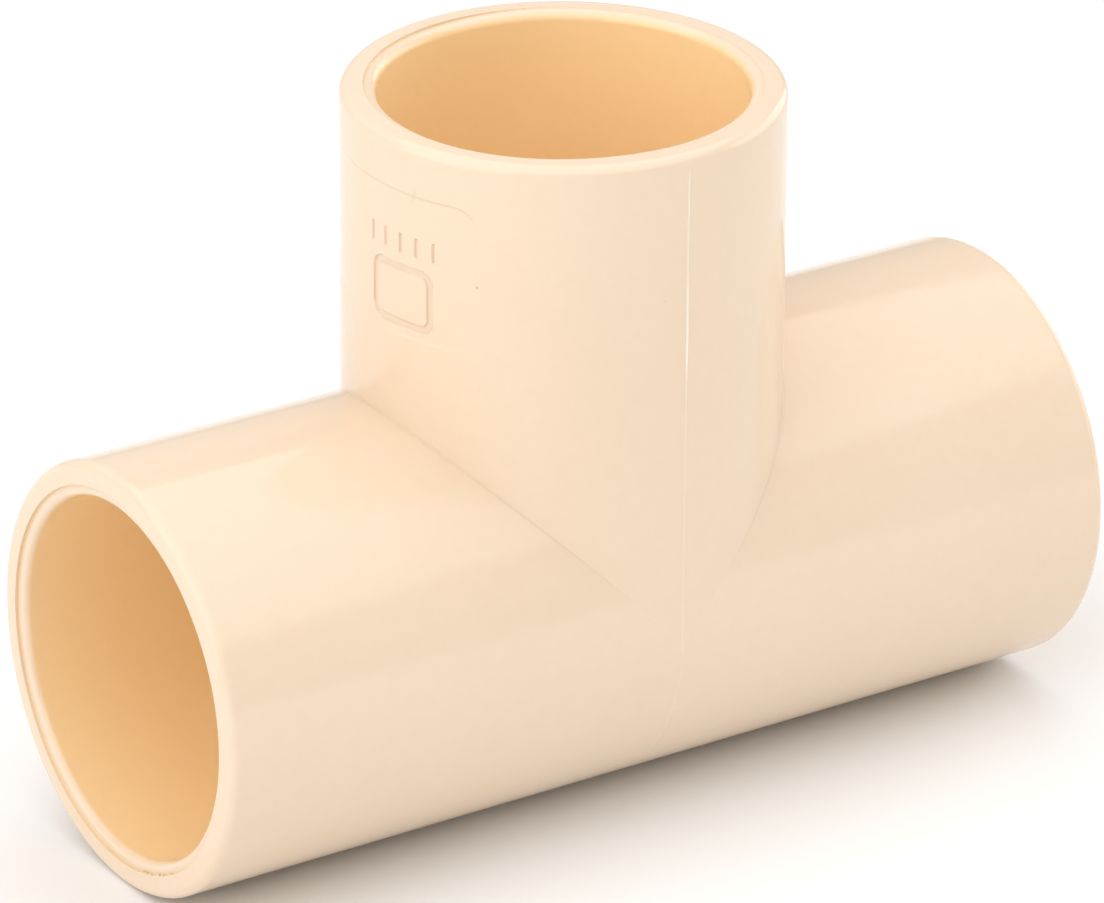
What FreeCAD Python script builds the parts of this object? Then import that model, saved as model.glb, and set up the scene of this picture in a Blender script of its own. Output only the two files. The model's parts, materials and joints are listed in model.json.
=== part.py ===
# Slip-socket pipe tee, equal on all three ends.
# The run lies along X, the branch rises along +Z, and the part rests on z = 0.
# Origin: centre of the footprint, on the resting surface, under the crossing
# of the run and branch axes.  Millimetres.
#
# The fitting is one moulding.  It is written as its four regions, which meet
# face to face at the planes where a fitted pipe stops:
#   run_socket_left, run_socket_right, branch_socket, centre_body.

import FreeCAD
import Part
import math
import os

from FreeCAD import Vector

# ---------------------------------------------------------------- dimensions
OUTER_R = 24.8            # outside radius of the run and of the branch
CENTRE_TO_END = 58.2      # crossing of the axes to each end face
SOCKET_R = 20.7           # mean radius of the pipe socket
SOCKET_DEPTH = 33.0       # end face to pipe stop
WATERWAY_R = 18.5         # bore past the pipe stops
RIM_FILLET = 1.2          # rounding of the outer rim of each end
STEP_R = 22.1             # shallow counterbore in each end face
# depth of that counterbore, and the rounding from its ledge into the socket
RUN_MOUTH = (0.40, 0.85)
BRANCH_MOUTH = (0.20, 1.05)

AXIS_Z = OUTER_R          # height of the run axis above the resting surface
STOP = CENTRE_TO_END - SOCKET_DEPTH   # crossing of the axes to each pipe stop

AXES_CROSS = Vector(0, 0, AXIS_Z)


def socket_profile(step_depth, lead_r):
    """Half section of one socket: x is the radius, z the distance along the
    axis from the crossing of the axes."""
    end = CENTRE_TO_END
    f = RIM_FILLET
    ledge = end - step_depth
    q = math.sqrt(0.5)
    p_stop_out = Vector(OUTER_R, 0, STOP)
    p_rim_low = Vector(OUTER_R, 0, end - f)
    p_rim_mid = Vector(OUTER_R - f + f * q, 0, end - f + f * q)
    p_rim_top = Vector(OUTER_R - f, 0, end)
    p_step_top = Vector(STEP_R, 0, end)
    p_step_low = Vector(STEP_R, 0, ledge)
    p_ledge_in = Vector(SOCKET_R + lead_r, 0, ledge)
    p_lead_mid = Vector(SOCKET_R + lead_r - lead_r * q, 0,
                        ledge - lead_r + lead_r * q)
    p_lead_low = Vector(SOCKET_R, 0, ledge - lead_r)
    p_stop_in = Vector(SOCKET_R, 0, STOP)
    edges = [
        Part.LineSegment(p_stop_out, p_rim_low).toShape(),
        Part.Arc(p_rim_low, p_rim_mid, p_rim_top).toShape(),
        Part.LineSegment(p_rim_top, p_step_top).toShape(),
        Part.LineSegment(p_step_top, p_step_low).toShape(),
        Part.LineSegment(p_step_low, p_ledge_in).toShape(),
        Part.Arc(p_ledge_in, p_lead_mid, p_lead_low).toShape(),
        Part.LineSegment(p_lead_low, p_stop_in).toShape(),
        Part.LineSegment(p_stop_in, p_stop_out).toShape(),
    ]
    return Part.Face(Part.Wire(edges))


def socket(direction, mouth):
    """A whole socket, turned from +Z to the wanted direction and lifted to
    the run axis."""
    body = socket_profile(*mouth).revolve(Vector(0, 0, 0), Vector(0, 0, 1), 360)
    turn = FreeCAD.Rotation(Vector(0, 0, 1), direction)
    placed = body.copy()
    placed.Placement = FreeCAD.Placement(AXES_CROSS, turn)
    return placed


def rod(radius, start, direction, length):
    return Part.makeCylinder(radius, length, start, direction)


# ------------------------------------------------------------- centre body
run_skin = rod(OUTER_R, AXES_CROSS + Vector(-STOP, 0, 0), Vector(1, 0, 0), 2 * STOP)
branch_skin = rod(OUTER_R, AXES_CROSS, Vector(0, 0, 1), STOP)
run_bore = rod(WATERWAY_R, AXES_CROSS + Vector(-STOP - 1, 0, 0),
               Vector(1, 0, 0), 2 * STOP + 2)
branch_bore = rod(WATERWAY_R, AXES_CROSS, Vector(0, 0, 1), STOP + 1)
centre_body = run_skin.fuse(branch_skin).cut(run_bore.fuse(branch_bore))
if centre_body.ShapeType == "Compound" and len(centre_body.Solids) == 1:
    centre_body = centre_body.Solids[0]

nodes = {
    "run_socket_left": socket(Vector(-1, 0, 0), RUN_MOUTH),
    "run_socket_right": socket(Vector(1, 0, 0), RUN_MOUTH),
    "branch_socket": socket(Vector(0, 0, 1), BRANCH_MOUTH),
    "centre_body": centre_body,
}

os.makedirs("parts", exist_ok=True)
for name, shape in nodes.items():
    if not shape.isValid():
        raise SystemExit("invalid solid: " + name)
    shape.exportStep("parts/" + name + ".step")
    b = shape.BoundBox
    print("%-18s %-9s solids %d  volume %9.1f mm3  x %7.2f %7.2f  y %7.2f %7.2f  z %7.2f %7.2f"
          % (name, shape.ShapeType, len(shape.Solids), shape.Volume,
             b.XMin, b.XMax, b.YMin, b.YMax, b.ZMin, b.ZMax))
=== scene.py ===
"""Looks for the slip-socket pipe tee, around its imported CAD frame.

The four CAD nodes are regions of one moulding.  Each gets one finished mesh
here, on the same surfaces, with what the CAD leaves out: the crotch fillet, the
parting ridge, the recessed marking pad with plain marks, the moulded step in
each mouth and its flash.  All lengths below are in millimetres until a mesh is
written, in metres.
"""

import json
import math

import bmesh
import bpy
import numpy as np
from mathutils import Matrix, Vector


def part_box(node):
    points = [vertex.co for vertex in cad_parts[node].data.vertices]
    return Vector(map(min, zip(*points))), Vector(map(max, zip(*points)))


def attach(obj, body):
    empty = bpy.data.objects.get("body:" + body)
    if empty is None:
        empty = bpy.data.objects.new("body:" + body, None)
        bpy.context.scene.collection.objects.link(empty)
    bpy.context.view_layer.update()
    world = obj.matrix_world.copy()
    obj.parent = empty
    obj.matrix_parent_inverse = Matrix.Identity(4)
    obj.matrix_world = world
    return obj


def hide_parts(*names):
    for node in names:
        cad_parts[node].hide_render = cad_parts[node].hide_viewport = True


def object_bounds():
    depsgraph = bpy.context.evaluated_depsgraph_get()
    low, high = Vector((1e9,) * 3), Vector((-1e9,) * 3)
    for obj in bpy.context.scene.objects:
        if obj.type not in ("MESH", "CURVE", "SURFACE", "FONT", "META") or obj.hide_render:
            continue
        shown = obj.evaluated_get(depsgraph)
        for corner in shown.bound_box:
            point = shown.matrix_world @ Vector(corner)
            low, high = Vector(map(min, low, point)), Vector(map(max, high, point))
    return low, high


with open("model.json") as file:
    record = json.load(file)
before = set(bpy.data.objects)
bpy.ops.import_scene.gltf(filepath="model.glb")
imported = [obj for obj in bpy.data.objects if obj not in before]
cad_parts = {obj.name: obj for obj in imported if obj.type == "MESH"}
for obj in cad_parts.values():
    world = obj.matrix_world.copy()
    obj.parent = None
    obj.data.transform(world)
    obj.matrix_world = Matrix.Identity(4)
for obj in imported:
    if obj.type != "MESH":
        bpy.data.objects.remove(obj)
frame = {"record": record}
cad_low, cad_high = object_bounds()

MM = 0.001

# ------------------------------------------------------------ sizes from CAD
R = (cad_high.y - cad_low.y) / 2 / MM          # outside radius
END = cad_high.x / MM                          # crossing of the axes to an end face
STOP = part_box("centre_body")[1].x / MM         # crossing of the axes to a pipe stop
SOCKET_R = next(m for m in frame["record"]["mounts"] if m["name"] == "branch_socket")["dims"]["r_mm"]
WATER_R = 18.5
RIM = 1.2
STEP_R = 22.1
RUN_MOUTH = (0.40, 0.85)                       # step depth, rounding into the socket
BRANCH_MOUTH = (0.20, 1.05)
CROTCH = 0.14                                  # fillet where the branch meets the run
WATER_EDGE = 0.5                               # rounding of the same edge inside

# ------------------------------------------------------------- small helpers


def smooth(a, b, x):
    """0 below a, 1 above b, smooth between."""
    t = np.clip((x - a) / (b - a), 0.0, 1.0)
    return t * t * (3 - 2 * t)


def merged(*lists):
    """Sorted union of sample lists, without near repeats."""
    v = np.sort(np.concatenate([np.asarray(x, float) for x in lists]))
    keep = np.concatenate([[True], np.diff(v) > 1e-9])
    return v[keep]


def spaced(a, b, step):
    n = max(1, int(math.ceil((b - a) / step - 1e-9)))
    return np.linspace(a, b, n + 1)


class Skin:
    """Grids of points, welded into one mesh at the end."""

    def __init__(self):
        self.points, self.faces, self.count = [], [], 0
        self.inner, self.grime, self.painted_highlight = [], [], []

    def patch(self, p, wrap=False, inner=0.0, grime=0.0, painted_highlight=0.0):
        n, m = p.shape[:2]
        idx = self.count + np.arange(n * m).reshape(n, m)
        if wrap:
            idx = np.concatenate([idx, idx[:, :1]], 1)
        self.points.append(p.reshape(-1, 3))
        self.count += n * m
        quads = np.stack([idx[:-1, :-1], idx[1:, :-1], idx[1:, 1:], idx[:-1, 1:]], -1).reshape(-1, 4)
        self.faces.append(quads)
        self.inner.append(np.broadcast_to(inner, (n, m)).reshape(-1))
        self.grime.append(np.broadcast_to(grime, (n, m)).reshape(-1))
        self.painted_highlight.append(np.broadcast_to(painted_highlight, (n, m)).reshape(-1))

    def make(self, name, sharp_deg=38):
        pts = np.concatenate(self.points)
        quads = np.concatenate(self.faces)
        inner, grime, painted_highlight = (np.concatenate(v) for v in (self.inner, self.grime, self.painted_highlight))
        # weld points that are the same to a tenth of a micron
        key = np.round(pts * 1e4).astype(np.int64)
        _, first, inverse = np.unique(key, axis=0, return_index=True, return_inverse=True)
        inverse = inverse.reshape(-1)
        co = pts[first]
        quads = inverse[quads]
        faces = []
        for q in quads.tolist():
            f = [v for i, v in enumerate(q) if v != q[i - 1]]
            if len(f) > 2 and len(set(f)) == len(f):
                faces.append(f)
        me = bpy.data.meshes.new(name)
        me.from_pydata((co * MM).tolist(), [], faces)
        for key, values in (("inner", inner), ("grime", grime), ("painted_highlight", painted_highlight)):
            me.attributes.new(key, "FLOAT", "POINT").data.foreach_set("value", values[first].astype(np.float32))
        bm = bmesh.new()
        bm.from_mesh(me)
        bmesh.ops.remove_doubles(bm, verts=bm.verts, dist=2e-7)
        bmesh.ops.dissolve_degenerate(bm, edges=bm.edges, dist=5e-8)
        bmesh.ops.recalc_face_normals(bm, faces=bm.faces)
        if bm.calc_volume(signed=True) < 0:
            bmesh.ops.reverse_faces(bm, faces=bm.faces)
        bm.to_mesh(me)
        bm.free()
        me.polygons.foreach_set("use_smooth", np.ones(len(me.polygons), bool))
        me.set_sharp_from_angle(angle=math.radians(sharp_deg))
        me.update()
        ob = bpy.data.objects.new(name, me)
        bpy.context.scene.collection.objects.link(ob)
        return ob


def rounded(corners, arc_deg=11.0, sup=0.05, longest=2.0):
    """Points of a polyline whose corners (x, y, fillet) are rounded, with a
    close pair of points beside each arc so that smooth shading stays on it."""
    out = []
    n = len(corners)
    for i, (x, y, f) in enumerate(corners):
        p = np.array([x, y], float)
        if i in (0, n - 1) or f <= 0:
            out.append([p])
            continue
        a = np.array(corners[i - 1][:2], float) - p
        b = np.array(corners[i + 1][:2], float) - p
        a, b = a / np.linalg.norm(a), b / np.linalg.norm(b)
        inner = math.acos(np.clip(a @ b, -1, 1))
        t = f / math.tan(inner / 2)
        c = p + (a + b) / np.linalg.norm(a + b) * f / math.sin(inner / 2)
        s, e = p + a * t - c, p + b * t - c
        turn = math.pi - inner
        k = max(3, int(math.ceil(math.degrees(turn) / arc_deg)))
        arc = []
        for j in range(k + 1):
            w = j / k
            arc.append(c + (math.sin((1 - w) * turn) * s + math.sin(w * turn) * e) / math.sin(turn))
        out.append(arc)
    pts = [out[0][0]]
    for i in range(1, n):
        a, b = out[i - 1][-1], out[i][0]
        d = np.linalg.norm(b - a)
        if d > 1e-6:
            cuts = [0.0]
            if d > 4 * sup:
                inside = spaced(sup, d - sup, longest)
                cuts += inside.tolist()
            cuts.append(d)
            pts += [a + (b - a) * c / d for c in cuts[1:]]
        pts += out[i][1:]
    return np.array(pts)


# ------------------------------------------------------ relief on the outside
# Azimuths are about the branch axis, counter-clockwise from +X.  Arc lengths
# on the branch are R times the angle.

PAD_MID, PAD_HALF = 180.0, 35.0                # degrees
PAD_LOW, PAD_HIGH = 35.5, 52.3                 # mm above the run axis
PAD_CORNER = 3.0
PAD_DEPTH = 0.07
MARK_DEPTH = 0.24
MARK_MID = 191.0
RIDGE_H = 0.11
RIDGE_W = 0.17                                 # half width


def ridge(off, strength):
    """Height of the parting ridge at a distance off from its plane."""
    t = np.clip(np.abs(off) / RIDGE_W, 0, 1)
    return RIDGE_H * strength * (1 - t * t) ** 2


def ridge_painted_highlight(off, z):
    """How strongly the parting ridge gets its painted highlight, a paler colour than the skin beside it, z above the
    run axis.
    """
    t = np.clip(np.abs(off) / (RIDGE_W * 1.15), 0, 1)
    along = 0.15 + 0.15 * smooth(22, 29, z) + 0.70 * smooth(29.5, 35.5, z) - 0.50 * smooth(40, 44.5, z)
    return along * (1 - t * t) * (1 - smooth(-10, -20, z)) * (0.9 + 0.2 * wander(z, 3.0, 0.6))


def wander(s, seed, size=1.0):
    """A slow, fixed wobble between about -1 and 1."""
    k = np.array([0.21, 0.47, 0.83, 1.37]) / size
    ph = np.array([0.3, 1.9, 4.1, 5.2]) * (1 + 0.37 * seed)
    am = np.array([0.45, 0.3, 0.17, 0.08])
    s = np.asarray(s, float)
    return sum(a * np.sin(w * s * 2 * math.pi / 6.0 + p) for a, w, p in zip(am, k, ph))


def stroke(u, v, x0, y0, x1, y1, half, soft=0.1):
    """1 on a round-ended stroke, 0 off it."""
    dx, dy = x1 - x0, y1 - y0
    ll = dx * dx + dy * dy
    t = np.clip(((u - x0) * dx + (v - y0) * dy) / max(ll, 1e-9), 0, 1)
    d = np.hypot(u - x0 - t * dx, v - y0 - t * dy)
    return 1 - smooth(half - soft / 2, half + soft / 2, d)


def pad_relief(az, z):
    """Relief of the marking pad, with painted shade at the edges of its sunk marks and along its top joint: u to the
    left seen from outside, v up.
    """
    u = (az - PAD_MID) * math.pi / 180 * R
    half = PAD_HALF * math.pi / 180 * R
    mid, tall = (PAD_LOW + PAD_HIGH) / 2, (PAD_HIGH - PAD_LOW) / 2
    qx, qy = np.abs(u) - (half - PAD_CORNER), np.abs(z - mid) - (tall - PAD_CORNER)
    d = np.hypot(np.maximum(qx, 0), np.maximum(qy, 0)) + np.minimum(np.maximum(qx, qy), 0) - PAD_CORNER
    out = -PAD_DEPTH * (1 - smooth(-0.12, 0.06, d))
    # a witness groove at the insert's joint
    out -= 0.035 * np.exp(-((d - 0.08) / 0.07) ** 2)
    # plain marks: five short strokes over an empty box
    m = (az - MARK_MID) * math.pi / 180 * R
    mark = np.zeros_like(m)
    for i in range(5):
        c = (i - 2) * 2.4
        mark = np.maximum(mark, stroke(m, z, c, 45.2, c, 47.2, 0.20))
    bx, by = np.abs(m) - (4.3 - 1.3), np.abs(z - 40.0) - (3.3 - 1.3)
    box = np.hypot(np.maximum(bx, 0), np.maximum(by, 0)) + np.minimum(np.maximum(bx, by), 0) - 1.3
    mark = np.maximum(mark, 1 - smooth(0.38, 0.48, np.abs(box)))
    out -= MARK_DEPTH * mark
    # a short tool mark across the insert's joint
    tick = stroke(u, z, 6.45, 51.5, 7.25, 53.1, 0.07, 0.1)
    out -= 0.05 * tick
    # painted shade: the sunk marks are darkened at their edges and the pad's joint along its top, where they lie in
    # shadow; the tool mark is darker too
    wall = 0.75 * mark * (1 - smooth(0.5, 1.0, mark) * 0.7)
    joint = 0.6 * np.exp(-((d - 0.06) / 0.10) ** 2) * smooth(50.0, 51.5, z) * (1 - 0.7 * smooth(-2, -12, u))
    return out, np.maximum(np.maximum(wall, joint), 0.5 * tick)


def branch_relief(az, z):
    """Everything that stands off the branch's cylinder, az in degrees, with the painted shade of the pad and the
    painted highlight of the parting ridge.
    """
    a = np.radians(az)
    x = R * np.cos(a)
    out, grime = pad_relief(az, z)
    fade = smooth(END - RIM - 0.1, END - RIM - 0.9, z)
    strength = (0.62 + 0.38 * smooth(26, 36, z)) * (1 + 0.22 * wander(z, 1.0))
    off = x + 0.03 * wander(z, 2.0, 2.0)
    out = out + ridge(off, strength) * fade
    return out, grime, ridge_painted_highlight(off, z) * fade


# ---------------------------------------------------------------- the sockets
def ring_columns(extra=(), step_deg=1.5):
    """Azimuths round a branch ring, close together at the ridge and where asked."""
    side = np.degrees(np.array([0, .035, .07, .105, .14, .175, .21, .26, .34, .5, .8, 1.3]) / R)
    near = merged(-side[1:], side)
    base = np.arange(0, 360, step_deg)
    lists = [base, 90 + near, 270 + near, *extra]
    cols = merged(*lists)
    cols = cols[(cols >= 0) & (cols < 360 - 1e-6)]
    keep = [cols[0]]
    for c in cols[1:]:
        if c - keep[-1] > 0.03:
            keep.append(c)
    return np.array(keep)


def socket_profile(mouth_size, rows=None):
    """(radius, distance) round a socket's section, from the outer skin at the
    stop plane, over the mouth, down the bore to the stop and back."""
    depth, lead = mouth_size
    corner = 0.07 if depth > 0.3 else 0.05
    mouth = rounded([
        (R, END - RIM - 2.0, 0), (R, END, RIM), (STEP_R, END, corner),
        (STEP_R, END - depth, corner), (SOCKET_R, END - depth, lead),
        (SOCKET_R, END - 4.0, 0)], arc_deg=9.0)
    if rows is None:
        rows = merged([STOP, STOP + 0.05], spaced(STOP + 0.05, END - RIM - 2.0, 1.5))
    outer = np.array([(R, z) for z in rows if z < END - RIM - 2.0 - 1e-6])
    bore = np.array([(SOCKET_R, z) for z in spaced(STOP, END - 4.0, 1.5)[::-1][1:]])
    bore = np.concatenate([bore[:-1], [(SOCKET_R, STOP + 0.05)], bore[-1:]])
    cap = np.array([(SOCKET_R * (1 - w) + R * w, STOP) for w in (0.5, 1.0)])
    return outer, mouth, bore, cap


def lathe(profile, az):
    """Grid of points: rows along the profile, columns round the axis +Z."""
    a = np.radians(az)[None, :]
    r, t = profile[:, 0][:, None], profile[:, 1][:, None]
    return np.stack([r * np.cos(a), r * np.sin(a), np.broadcast_to(t, (len(profile), len(az)))], -1)


def turned(p, direction):
    """Turns points from axis +Z to the direction, and lifts them to the run axis."""
    if direction == "+Z":
        q = p
    elif direction == "+X":
        q = np.stack([p[..., 2], p[..., 1], -p[..., 0]], -1)
    else:
        q = np.stack([-p[..., 2], p[..., 1], p[..., 0]], -1)
    return q + np.array([0, 0, R])


def flash(az, lo, hi, seed):
    """Ragged flash on the step between two azimuths, 0 to 1."""
    u = (az - lo) / (hi - lo)
    env = smooth(0, 0.12, u) * (1 - smooth(0.88, 1, u))
    s = az * 0.9
    rag = 0.45 + 0.45 * np.sin(s * 1.3 + seed) * np.sin(s * 0.47 + 2 * seed) + 0.35 * np.sin(s * 2.9 + seed)
    return env * np.clip(rag, 0, 1)


def build_socket(name, direction):
    skin = Skin()
    if direction == "+Z":
        extra = [
            spaced(PAD_MID - PAD_HALF - 2.0, PAD_MID + PAD_HALF + 2.0, 0.6),
            spaced(MARK_MID - 12.6, MARK_MID + 12.9, 0.29),
            PAD_MID - PAD_HALF + np.arange(-6, 7) * 0.12,
            PAD_MID + PAD_HALF + np.arange(-6, 7) * 0.12,
        ]
        az = ring_columns(extra)
        rows = merged(
            [STOP, STOP + 0.05], spaced(STOP + 0.05, 34.8, 1.2), spaced(34.8, 36.0, 0.09),
            spaced(36.0, 47.6, 0.165), spaced(47.6, 51.8, 0.35), spaced(51.8, 52.8, 0.09),
            spaced(52.8, END - RIM - 2.0, 0.8))
        keep = [rows[0]]
        for v in rows[1:]:
            if v - keep[-1] > 0.03:
                keep.append(v)
        rows = np.array(keep)
    else:
        az, rows = merged(np.arange(0, 360, 1.25), np.arange(185.0, 216.0, 0.3125)), None
    mouth_size = BRANCH_MOUTH if direction == "+Z" else RUN_MOUTH
    depth, lead = mouth_size
    outer, mouth, bore, cap = socket_profile(mouth_size, rows)
    wall = np.concatenate([outer, mouth])
    p = lathe(wall, az)
    n_outer = int(np.sum((wall[:, 0] > R - 1e-9)))
    grime, painted_highlight = np.zeros((len(wall), len(az))), np.zeros((len(wall), len(az)))
    if direction == "+Z":
        # relief only on the straight part of the skin
        a = np.radians(az)[None, :]
        zz = np.broadcast_to(wall[:n_outer, 1][:, None], (n_outer, len(az)))
        aa = np.broadcast_to(az[None, :], zz.shape)
        d, grime[:n_outer], painted_highlight[:n_outer] = branch_relief(aa, zz)
        p[:n_outer, :, 0] += d * np.cos(a)
        p[:n_outer, :, 1] += d * np.sin(a)
    # the bore's warmer, brighter colour is painted light, standing in for light through the wall and bouncing inside;
    # it starts on the lead-in, with a trace of it on the step
    rr, tt = wall[:, 0][:, None], wall[:, 1][:, None]
    if direction == "+Z":
        past = smooth(END - depth - 0.02 * lead, END - depth - 0.70 * lead, tt)
    else:
        past = smooth(END - depth - 0.25 * lead, END - depth - 1.25 * lead, tt)
    deep = np.where(rr < SOCKET_R + lead + 1e-6, past, 0.0) * np.ones((1, len(az)))
    # painted shade: a dark line along the step's inner corner, where its crevice is in shadow
    step_shade = np.exp(-(((rr - STEP_R + 0.05) / 0.20) ** 2)) * (tt < END - 0.04)
    if direction == "+Z":
        # the moulded step is deeper on the left and fades out on the right, and so does its painted shade line
        side = smooth(55, 100, az) * (1 - smooth(200, 260, az))
        sunk = np.where(rr < STEP_R + 0.01, 1 - smooth(END - depth - 0.5, END - 3.6, tt), 0.0)
        low = np.clip((END - tt) / depth, 0, 1)
        p[..., 2] -= np.where((rr < STEP_R + 0.10) & (tt > END - 3.7), sunk * low * (0.12 * side - 0.13 * (1 - side))[None, :], 0.0)
        step_shade = step_shade * side[None, :]
    # the step line takes a trace of the bore's painted light and its painted shade
    deep = np.maximum(deep, step_shade * 0.5)
    grime = np.maximum(grime, step_shade * 0.42)
    if direction == "-X":
        # ragged flash left on the step's edge, low on the near side
        rag = flash(az, 189.0, 213.0, 0.7)[None, :]
        edge = np.exp(-(((rr - STEP_R) / 0.12) ** 2)) * (tt > END - 0.2)
        shrink = 1 - 0.30 * rag * edge / rr
        p[..., 0] *= shrink
        p[..., 1] *= shrink
        # darker just inside the step's edge, following the flash's ragged outline
        grime = np.maximum(grime, 0.8 * rag * np.exp(-(((rr - STEP_R + 0.12) / 0.16) ** 2)) * (tt > END - depth - 0.05))
    skin.patch(turned(p, direction), wrap=True, inner=deep, grime=grime, painted_highlight=painted_highlight)
    # the bore and the stop face take the bore's painted light in full
    q = lathe(np.concatenate([mouth[-1:], bore]), az)
    skin.patch(turned(q, direction), wrap=True, inner=1.0)
    c = lathe(np.concatenate([bore[-1:], cap]), az)
    if direction == "+Z":
        d = branch_relief(az, np.full(len(az), STOP))[0]
        c[-1, :, 0] += d * np.cos(np.radians(az))
        c[-1, :, 1] += d * np.sin(np.radians(az))
    skin.patch(turned(c, direction), wrap=True, inner=1.0)
    return skin.make(name)


# ----------------------------------------------------------- the centre body
def tee_rows():
    """Angles a in the upper half: y = -r cos a, height r sin a.  Close together
    at both ends, where the ridge is."""
    near = np.degrees(np.array([0, .035, .07, .105, .14, .175, .21, .26, .34, .5, .8, 1.3]) / R)
    base = np.arange(0, 180 + 1e-9, 1.5)
    rows = merged(near, 180 - near, base)
    keep = [rows[0]]
    for v in rows[1:]:
        if v - keep[-1] > 0.03:
            keep.append(v)
    keep[-1] = 180.0
    return np.radians(np.array(keep))


def run_samples(reach):
    """Distances from the end ring towards the middle, close together there."""
    near = np.array([0, .035, .07, .105, .14, .175, .21, .26, .34, .5, .8, 1.3, 2.0, 3.0])
    return np.sort(merged(reach - near, spaced(0, reach - 3.0, 1.4), [0.05])) / reach


def tee_skin(skin, r, reach, fillet, inner, relief):
    """One T-shaped tube skin of radius r: a run out to +-reach and a branch up
    to reach, with the corner between them rounded by fillet."""
    a = tee_rows()
    s = run_samples(reach)
    arc = np.radians(np.linspace(0, 90, 9))
    # painted shade: a thin dark line in the crotch, strongest where the two skins meet squarely
    outside = relief is not no_relief
    crease_shade = smooth(8, 38, np.degrees(np.minimum(a, math.pi - a)))[:, None] * (0.42 if outside else 0.0)
    sin_a, cos_a = np.sin(a)[:, None], np.cos(a)[:, None]
    y = -r * cos_a
    h = r * sin_a
    edge = (r + fillet) * sin_a
    up = s[::-1]
    for side in (-1, 1):
        # along the run, from its end to the fillet
        x = reach - (reach - edge) * s[None, :]
        flat = np.stack([side * x, np.broadcast_to(y, x.shape), np.broadcast_to(h, x.shape)], -1)
        # round the fillet
        xa = edge - fillet * sin_a * np.sin(arc)[None, :]
        za = edge - fillet * sin_a * np.cos(arc)[None, :]
        bend = np.stack([side * xa, np.broadcast_to(y, xa.shape), za], -1)
        # up the branch
        z = reach - (reach - edge) * up[None, :]
        rise = np.stack([np.broadcast_to(side * h, z.shape), np.broadcast_to(y, z.shape), z], -1)
        p = np.concatenate([flat, bend[:, 1:], rise[:, 1:]], 1)
        gap = np.concatenate([x - edge, np.zeros_like(xa[:, 1:]), (z - edge)[:, 1:]], 1)
        p, painted_highlight = relief(p)
        skin.patch(p + np.array([0, 0, R]), inner=inner, grime=crease_shade * np.exp(-gap / 0.10), painted_highlight=painted_highlight)
    # lower half of the run
    xs = np.concatenate([-(reach - reach * s), (reach - reach * s)[::-1][1:]])
    p = np.stack([np.broadcast_to(xs[None, :], (len(a), len(xs))),
                  np.broadcast_to(-r * cos_a, (len(a), len(xs))),
                  np.broadcast_to(-r * sin_a, (len(a), len(xs)))], -1)
    p, painted_highlight = relief(p)
    skin.patch(p + np.array([0, 0, R]), inner=inner, painted_highlight=painted_highlight)


def no_relief(p):
    return p, 0.0


def ridge_relief(p):
    """The parting ridge and its painted highlight, in the plane x = 0, down
    the branch's front and back and fading out under the run."""
    x, y, z = p[..., 0], p[..., 1], p[..., 2]
    down = np.degrees(np.arctan2(-z, np.abs(y)))
    strength = (0.40 + 0.22 * smooth(0, 24, z)) * (1 - smooth(15, 62, down)) * (1 + 0.22 * wander(z, 1.0))
    off = x + 0.03 * wander(z, 2.0, 2.0)
    d = ridge(off, strength)
    q = p.copy()
    on_branch = z > 0
    # outward: the branch's own normal above the run axis, the run's below it
    rr = np.where(on_branch, np.hypot(x, y), np.hypot(y, z))
    q[..., 1] += d * y / rr
    q[..., 0] += np.where(on_branch, d * x / rr, 0)
    q[..., 2] += np.where(on_branch, 0, d * z / rr)
    return q, ridge_painted_highlight(off, z)


def build_centre(name):
    skin = Skin()
    a = tee_rows()
    tee_skin(skin, R, STOP, CROTCH, 0.0, ridge_relief)
    lip = 0.4                                   # rounding of each pipe stop's inner edge
    # the waterway takes the bore's painted light in full
    tee_skin(skin, WATER_R, STOP - lip, WATER_EDGE, 1.0, no_relief)
    # the three end faces, from the waterway's rounded edge out to the skin
    arc = np.radians(np.linspace(0, 90, 7))
    prof = [(WATER_R + lip - lip * math.cos(t), STOP - lip + lip * math.sin(t)) for t in arc]
    prof += [(WATER_R + lip + 0.05, STOP), (SOCKET_R, STOP), ((SOCKET_R + R) / 2, STOP), (R, STOP)]
    prof = np.array(prof)
    # the stop faces and the waterway's rounded edge take the bore's painted light
    prof_inner = np.where(prof[:, 0] < R - 1e-6, 1.0, 0.0)[:, None]
    ring = np.concatenate([a, 2 * math.pi - a[::-1][1:-1]])
    r, t = prof[:, 0][:, None], prof[:, 1][:, None]
    for side in (-1, 1):
        p = np.stack([np.broadcast_to(side * t, (len(prof), len(ring))),
                      -r * np.cos(ring)[None, :], r * np.sin(ring)[None, :]], -1)
        skin.patch(p + np.array([0, 0, R]), wrap=True, inner=prof_inner)
    p = np.stack([r * np.sin(ring)[None, :], -r * np.cos(ring)[None, :],
                  np.broadcast_to(t, (len(prof), len(ring)))], -1)
    # the skin's ring carries the ridge
    x, y = p[-1, :, 0].copy(), p[-1, :, 1].copy()
    strength = (0.40 + 0.22 * smooth(0, 24, STOP)) * (1 + 0.22 * wander(STOP, 1.0))
    d = ridge(x + 0.03 * wander(STOP, 2.0, 2.0), strength)
    p[-1, :, 0] += d * x / R
    p[-1, :, 1] += d * y / R
    skin.patch(p + np.array([0, 0, R]), wrap=True, inner=prof_inner)
    return skin.make(name)


parts = {
    "run_socket_left": build_socket("run_socket_left_skin", "-X"),
    "run_socket_right": build_socket("run_socket_right_skin", "+X"),
    "branch_socket": build_socket("branch_socket_skin", "+Z"),
    "centre_body": build_centre("centre_body_skin"),
}

# ------------------------------------------------------------------ materials


def link(tree, a, b):
    tree.links.new(a, b)


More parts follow.
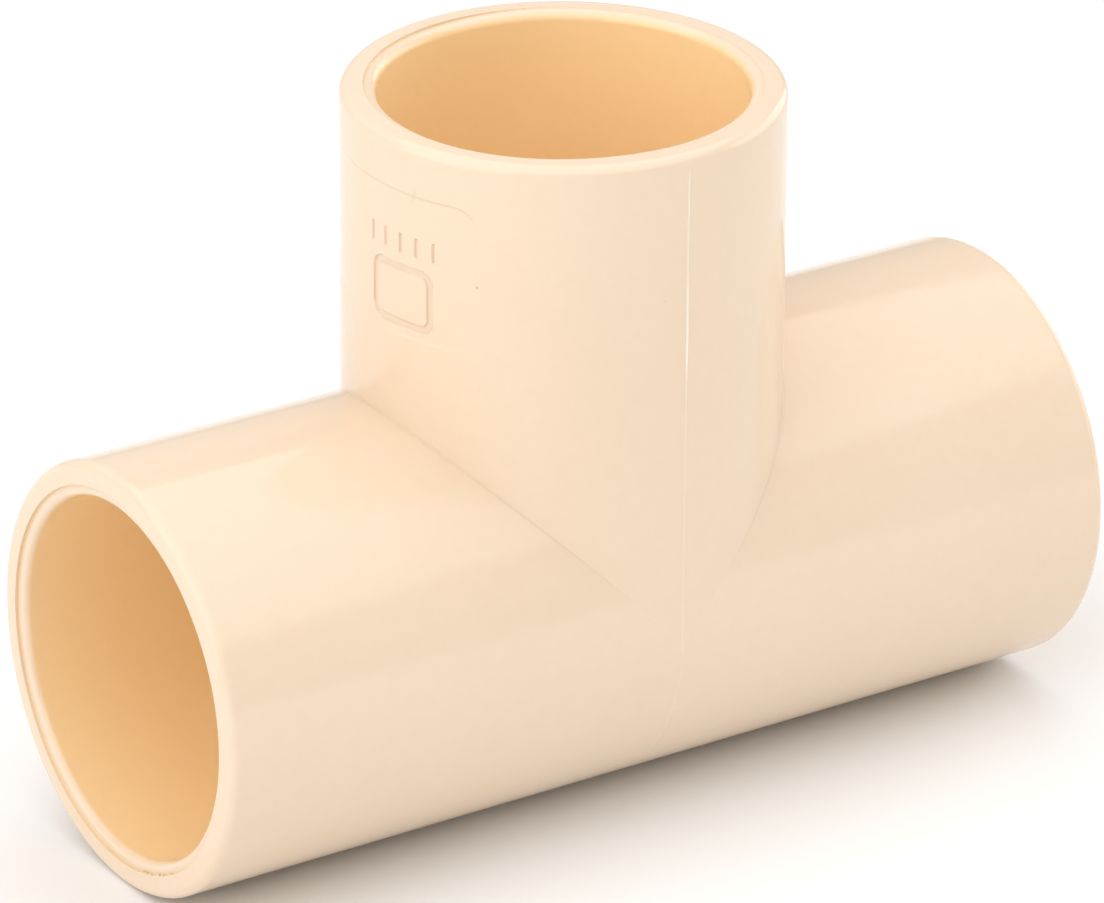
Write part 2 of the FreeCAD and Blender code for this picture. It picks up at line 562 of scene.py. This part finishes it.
def plastic(name):
    """Rigid moulded plastic: a slow drift between two tones, painted light down
    the bores (a warmer, brighter copy of the skin colour), painted shade in the
    crotch crease, the step's crevice and the edges of the sunk marks, a painted
    highlight along the parting ridge, darker flash and tool mark, a few dark
    specks, and a gloss and a surface that are a little uneven, as moulded."""
    mat = bpy.data.materials.new(name)
    mat.use_nodes = True
    t = mat.node_tree
    t.nodes.clear()
    out = t.nodes.new("ShaderNodeOutputMaterial")
    sh = t.nodes.new("ShaderNodeBsdfPrincipled")
    link(t, sh.outputs["BSDF"], out.inputs["Surface"])
    tex = t.nodes.new("ShaderNodeTexCoord")

    def noise(scale, detail, rough=0.5):
        n = t.nodes.new("ShaderNodeTexNoise")
        n.inputs["Scale"].default_value = scale
        n.inputs["Detail"].default_value = detail
        n.inputs["Roughness"].default_value = rough
        link(t, tex.outputs["Object"], n.inputs["Vector"])
        return n

    def ramp(src, stops):
        r = t.nodes.new("ShaderNodeValToRGB")
        els = r.color_ramp.elements
        while len(els) < len(stops):
            els.new(0.5)
        for e, (pos, col) in zip(els, stops):
            e.position = pos
            e.color = (*col, 1.0)
        link(t, src, r.inputs["Fac"])
        return r

    def mix(a, b, fac, mode="MIX"):
        m = t.nodes.new("ShaderNodeMix")
        m.data_type = "RGBA"
        m.blend_type = mode
        for k, v in ((6, a), (7, b)):
            if isinstance(v, tuple):
                m.inputs[k].default_value = (*v, 1.0)
            else:
                link(t, v, m.inputs[k])
        if isinstance(fac, float):
            m.inputs[0].default_value = fac
        else:
            link(t, fac, m.inputs[0])
        return m.outputs[2]

    def spread(src, a, b, c, d):
        m = t.nodes.new("ShaderNodeMapRange")
        for k, v in (("From Min", a), ("From Max", b), ("To Min", c), ("To Max", d)):
            m.inputs[k].default_value = v
        link(t, src, m.inputs["Value"])
        return m.outputs["Result"]

    def attribute(key):
        n = t.nodes.new("ShaderNodeAttribute")
        n.attribute_name = key
        return n.outputs["Fac"]

    inner, grime, painted_highlight = attribute("inner"), attribute("grime"), attribute("painted_highlight")
    slow = noise(24.0, 2.0, 0.5)
    cloud = ramp(slow.outputs["Fac"], [(0.30, SKIN_DEEP), (0.70, SKIN)])
    # painted light: inside, a warmer and brighter copy of the skin colour stands in for light through the wall and
    # light bouncing in the bore
    bore_painted_light = ramp(slow.outputs["Fac"], [(0.30, BORE_DEEP), (0.70, BORE)])
    colour = mix(cloud.outputs["Color"], bore_painted_light.outputs["Color"], inner)
    fine = noise(650.0, 2.0, 0.6)
    fine_v = ramp(fine.outputs["Fac"], [(0.3, (0.985, 0.983, 0.98)), (0.7, (1.0, 1.0, 1.0))])
    colour = mix(colour, fine_v.outputs["Color"], 1.0, "MULTIPLY")
    # painted highlight: a paler line along the parting ridge
    colour = mix(colour, (0.975, 0.875, 0.745), painted_highlight)
    # sparse specks
    cells = t.nodes.new("ShaderNodeTexVoronoi")
    cells.feature = "F1"
    cells.inputs["Scale"].default_value = 150.0
    cells.inputs["Randomness"].default_value = 1.0
    link(t, tex.outputs["Object"], cells.inputs["Vector"])
    pick = t.nodes.new("ShaderNodeSeparateColor")
    link(t, cells.outputs["Color"], pick.inputs["Color"])
    size = spread(pick.outputs["Red"], 0.2, 1.0, 0.0, 0.03)
    less = t.nodes.new("ShaderNodeMath")
    less.operation = "LESS_THAN"
    link(t, cells.outputs["Distance"], less.inputs[0])
    link(t, size, less.inputs[1])
    colour = mix(colour, (0.42, 0.27, 0.16), spread(less.outputs["Value"], 0, 1, 0, 0.5))
    # painted shade: darker in the crotch crease, the step's crevice and at the edges of the sunk marks; the flash and
    # the tool mark are darker too
    colour = mix(colour, (0.50, 0.36, 0.22), spread(grime, 0, 1, 0, 0.45))
    link(t, colour, sh.inputs["Base Color"])

    gloss = noise(60.0, 4.0, 0.6)
    link(t, spread(gloss.outputs["Fac"], 0.25, 0.75, GLOSS - 0.03, GLOSS + 0.06), sh.inputs["Roughness"])
    sh.inputs["IOR"].default_value = 1.5

    grain = noise(1400.0, 3.0, 0.6)
    waves = noise(45.0, 2.0, 0.5)
    b1 = t.nodes.new("ShaderNodeBump")
    b1.inputs["Strength"].default_value = 0.08
    b1.inputs["Distance"].default_value = 0.00004
    link(t, grain.outputs["Fac"], b1.inputs["Height"])
    b2 = t.nodes.new("ShaderNodeBump")
    b2.inputs["Strength"].default_value = 0.5
    b2.inputs["Distance"].default_value = 0.00008
    link(t, waves.outputs["Fac"], b2.inputs["Height"])
    link(t, b1.outputs["Normal"], b2.inputs["Normal"])
    link(t, b2.outputs["Normal"], sh.inputs["Normal"])
    return mat


SKIN, SKIN_DEEP = (0.850, 0.674, 0.503), (0.836, 0.656, 0.480)
# BORE and BORE_DEEP are painted light: a warmer, brighter copy of the skin colour for the bores
BORE, BORE_DEEP = (0.992, 0.738, 0.418), (0.986, 0.724, 0.398)
GLOSS = 0.10
moulded = plastic("cream_cpvc")

for node, ob in parts.items():
    ob.data.materials.append(moulded)
    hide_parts(node)
    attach(ob, "root")

# ---------------------------------------------------------------------- stage
floor_me = bpy.data.meshes.new("floor")
S = 6.0
floor_me.from_pydata([(-S, -S, 0), (S, -S, 0), (S, S, 0), (-S, S, 0)], [], [(0, 1, 2, 3)])
floor = bpy.data.objects.new("floor", floor_me)
bpy.context.scene.collection.objects.link(floor)
fm = bpy.data.materials.new("pale_floor")
fm.use_nodes = True
fm.node_tree.nodes["Principled BSDF"].inputs["Base Color"].default_value = (0.90, 0.90, 0.90, 1)
fm.node_tree.nodes["Principled BSDF"].inputs["Roughness"].default_value = 0.9
fm.node_tree.nodes["Principled BSDF"].inputs["Specular IOR Level"].default_value = 0.1
floor_me.materials.append(fm)

world = bpy.data.worlds.new("studio")
bpy.context.scene.world = world
world.use_nodes = True
world.node_tree.nodes["Background"].inputs["Color"].default_value = (1, 1, 1, 1)
world.node_tree.nodes["Background"].inputs["Strength"].default_value = 0.465


def area(name, loc, target, sx, sy, power, colour=(1, 1, 1)):
    la = bpy.data.lights.new(name, "AREA")
    la.shape = "RECTANGLE"
    la.size, la.size_y = sx, sy
    la.energy = power
    la.color = colour
    ob = bpy.data.objects.new(name, la)
    bpy.context.scene.collection.objects.link(ob)
    ob.location = loc
    ob.rotation_euler = (Vector(target) - Vector(loc)).to_track_quat("-Z", "Y").to_euler()
    return ob


area("top_softbox", (-0.32, -0.28, 0.70), (-0.32, -0.28, 0.0), 1.80, 1.74, 10.4)
area("left_softbox", (-1.30, 0.0, 0.45), (0.0, 0.0, 0.45), 1.6, 0.8, 5.5)
area("right_softbox", (1.30, 0.0, 0.45), (0.0, 0.0, 0.45), 1.6, 0.8, 6.4)
area("rear_softbox", (0.0, 1.30, 0.45), (0.0, 0.0, 0.45), 1.6, 0.8, 0.9)

# --------------------------------------------------------------------- camera
# fitted to the view: axes' crossing at (0, 0, R), lengths in R
AZ, EL, ROLL = math.radians(-33.2995), math.radians(24.95), math.radians(0.41)
CAM_D, CAM_X, CAM_Y = 37.226, -0.037, 0.486
back = Vector((math.sin(AZ) * math.cos(EL), -math.cos(AZ) * math.cos(EL), math.sin(EL)))
right = Vector((0, 0, 1)).cross(back).normalized()
upv = back.cross(right)
cx = math.cos(ROLL) * right + math.sin(ROLL) * upv
cy = -math.sin(ROLL) * right + math.cos(ROLL) * upv
rm = R * MM
pos = rm * (CAM_X * cx + CAM_Y * cy + CAM_D * back) + Vector((0, 0, rm))
cam_data = bpy.data.cameras.new("camera")
cam_data.sensor_width = 36.0
cam_data.lens = 8165.0 / 1104.0 * 36.0
cam_data.clip_start, cam_data.clip_end = 0.05, 30.0
cam = bpy.data.objects.new("camera", cam_data)
bpy.context.scene.collection.objects.link(cam)
cam.matrix_world = Matrix((
    (cx.x, cy.x, back.x, pos.x), (cx.y, cy.y, back.y, pos.y),
    (cx.z, cy.z, back.z, pos.z), (0, 0, 0, 1)))
bpy.context.scene.camera = cam
bpy.context.scene.view_settings.view_transform = "Standard"
